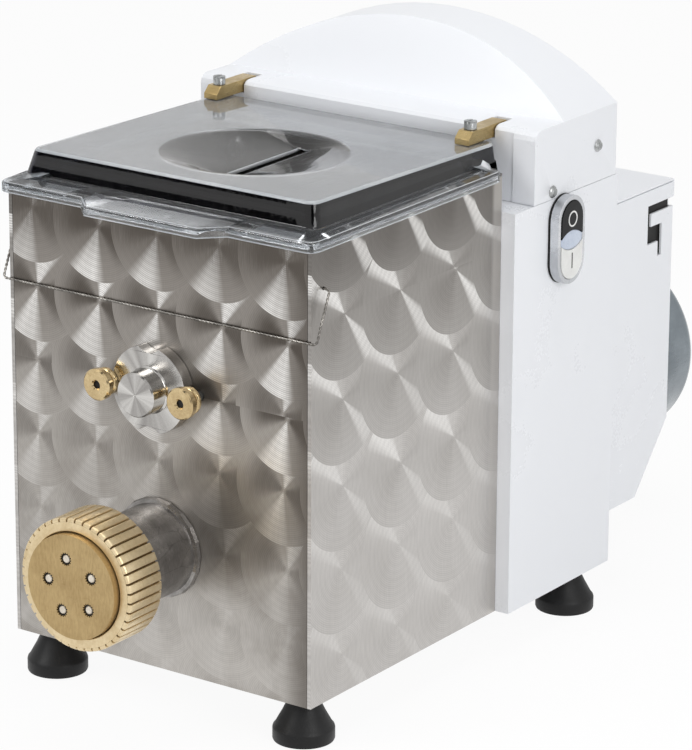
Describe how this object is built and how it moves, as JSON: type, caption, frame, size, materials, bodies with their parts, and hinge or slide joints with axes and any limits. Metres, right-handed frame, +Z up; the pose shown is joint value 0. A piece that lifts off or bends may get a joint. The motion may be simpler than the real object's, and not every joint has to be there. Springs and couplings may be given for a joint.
{
  "type": "electric pasta maker",
  "caption": "Countertop electric pasta maker: stainless mixing tub under a hinged clear lid, extruding barrel with ring nut and round-hole die, white drive column with push buttons and motor.",
  "frame": {"origin": "middle of the bounding box, on the floor plane that the feet stand on", "axes": "+X to the right seen from the front, +Y to the back (toward the motor), +Z up"},
  "size_m": [0.2676, 0.6082, 0.3823],
  "materials": {
    "stainless": "circular brushed swirls",
    "polished_steel": "polished",
    "barrel_steel": "satin turned",
    "inner_steel": "satin",
    "gear_steel": "machined, oiled",
    "cast_case": "as cast",
    "cowl_metal": "smooth",
    "fasteners": "zinc plated",
    "wire_steel": "drawn wire",
    "bezel_metal": "satin",
    "ring_brass": "turned",
    "die_bronze": "turned, warm brown",
    "core_metal": "turned",
    "bar_brass": "milled",
    "bearing_brass": "turned",
    "white_paint": "satin powder coat",
    "clear_plastic": "clear moulded sheet",
    "lens_plastic": "translucent",
    "black_plastic": "fine satin",
    "white_plastic": "smooth",
    "black_rubber": "matte"
  },
  "bodies": {
    "frame": {"front_panel": "stainless", "side_panel_right": "stainless", "side_panel_left": "stainless", "base_plate": "stainless", "hopper_tub": "stainless", "tub_bolt_right": "fasteners", "tub_bolt_left": "fasteners", "extrusion_barrel": "barrel_steel", "thrust_bush": "bearing_brass", "mixer_bush": "bearing_brass", "mixer_bearing_flange": "polished_steel", "mixer_stud_right": "fasteners", "mixer_stud_left": "fasteners", "hinge_bearing_right": "black_plastic", "hinge_bearing_left": "black_plastic", "column_casing": "white_paint", "column_back": "white_paint", "hood": "white_paint", "hood_screw_front_right": "fasteners", "hood_screw_rear_right": "fasteners", "hood_screw_front_left": "fasteners", "hood_screw_rear_left": "fasteners", "switch_gasket": "black_rubber", "switch_bezel": "bezel_metal", "pilot_lens": "lens_plastic", "switch_contact_block": "black_plastic", "gear_case_front": "cast_case", "gear_case_rear": "cast_case", "auger_bearing": "gear_steel", "mixer_bearing": "gear_steel", "motor_body": "cast_case", "fan_cowl": "cowl_metal", "rear_cover": "white_paint", "rear_cover_top": "white_paint", "cable_gland": "black_plastic", "foot_front_right": "black_rubber", "foot_front_left": "black_rubber", "foot_rear_right": "black_rubber", "foot_rear_left": "black_rubber"},
    "lid": {"lid": "clear_plastic", "hinge_bar_right": "bar_brass", "hinge_bar_left": "bar_brass", "bar_screw_right": "fasteners", "bar_screw_left": "fasteners", "lid_hinge_shaft": "fasteners"},
    "bail": {"wire_bail": "wire_steel"},
    "thumb_nut_right_body": {"thumb_nut_right": "ring_brass"},
    "thumb_nut_left_body": {"thumb_nut_left": "ring_brass"},
    "die": {"die_plate": "die_bronze", "die_core_spider": "core_metal"},
    "ring": {"ring_nut": "ring_brass"},
    "auger_set": {"auger": "inner_steel", "auger_gear": "gear_steel"},
    "mixer_set": {"mixer_shaft": "stainless", "mixer_gear": "gear_steel"},
    "layshaft": {"countershaft": "gear_steel"},
    "motor_rotor": {"motor_shaft": "gear_steel", "motor_fan": "black_plastic"},
    "stop": {"stop_button": "black_plastic"},
    "start": {"start_button": "white_plastic"}
  },
  "joints": [
    {"name": "lid_hinge", "type": "hinge", "parent": "frame", "child": "lid", "pos_m": [0.00295, 0.0148, 0.3308], "axis": [-1, 0, 0], "range_deg": [0, 100]},
    {"name": "bail_swing", "type": "hinge", "parent": "frame", "child": "bail", "pos_m": [0.00295, -0.2069, 0.2873], "axis": [-1, 0, 0], "range_deg": [0, 108]},
    {"name": "thumb_nut_right_turn", "type": "hinge", "parent": "frame", "child": "thumb_nut_right_body", "pos_m": [0.03415, -0.2339, 0.2093], "axis": [0, -1, 0], "range_deg": [0, 1080]},
    {"name": "thumb_nut_left_turn", "type": "hinge", "parent": "frame", "child": "thumb_nut_left_body", "pos_m": [-0.02825, -0.2339, 0.2093], "axis": [0, -1, 0], "range_deg": [0, 1080]},
    {"name": "die_slide", "type": "slide", "parent": "frame", "child": "die", "axis": [0, -1, 0], "range_m": [0, 0.016]},
    {"name": "ring_nut_turn", "type": "hinge", "parent": "die", "child": "ring", "pos_m": [0.00295, -0.2839, 0.1073], "axis": [0, -1, 0], "range_deg": [0, 1440]},
    {"name": "auger_spin", "type": "hinge", "parent": "frame", "child": "auger_set", "pos_m": [0.00295, -0.1189, 0.1073], "axis": [0, 1, 0], "continuous": true},
    {"name": "mixer_spin", "type": "hinge", "parent": "frame", "child": "mixer_set", "pos_m": [0.00295, -0.1189, 0.2093], "axis": [0, 1, 0], "continuous": true},
    {"name": "layshaft_spin", "type": "hinge", "parent": "frame", "child": "layshaft", "pos_m": [0.06295, 0.0061, 0.1073], "axis": [0, 1, 0], "continuous": true},
    {"name": "motor_spin", "type": "hinge", "parent": "frame", "child": "motor_rotor", "pos_m": [0.00295, 0.1311, 0.1073], "axis": [0, 1, 0], "continuous": true},
    {"name": "stop_press", "type": "slide", "parent": "frame", "child": "stop", "axis": [-1, 0, 0], "range_m": [0, 0.0025], "stiffness_N_per_m": 500, "springref_m": -0.002},
    {"name": "start_press", "type": "slide", "parent": "frame", "child": "start", "axis": [-1, 0, 0], "range_m": [0, 0.0025], "stiffness_N_per_m": 500, "springref_m": -0.002}
  ],
  "couplings": [
    {"joint": "die_slide", "follows": "ring_nut_turn", "m_per_rad": 0.00063662},
    {"joint": "mixer_spin", "follows": "auger_spin", "ratio": -0.82143},
    {"joint": "layshaft_spin", "follows": "auger_spin", "ratio": -3.2857},
    {"joint": "motor_spin", "follows": "auger_spin", "ratio": 13.143}
  ]
}
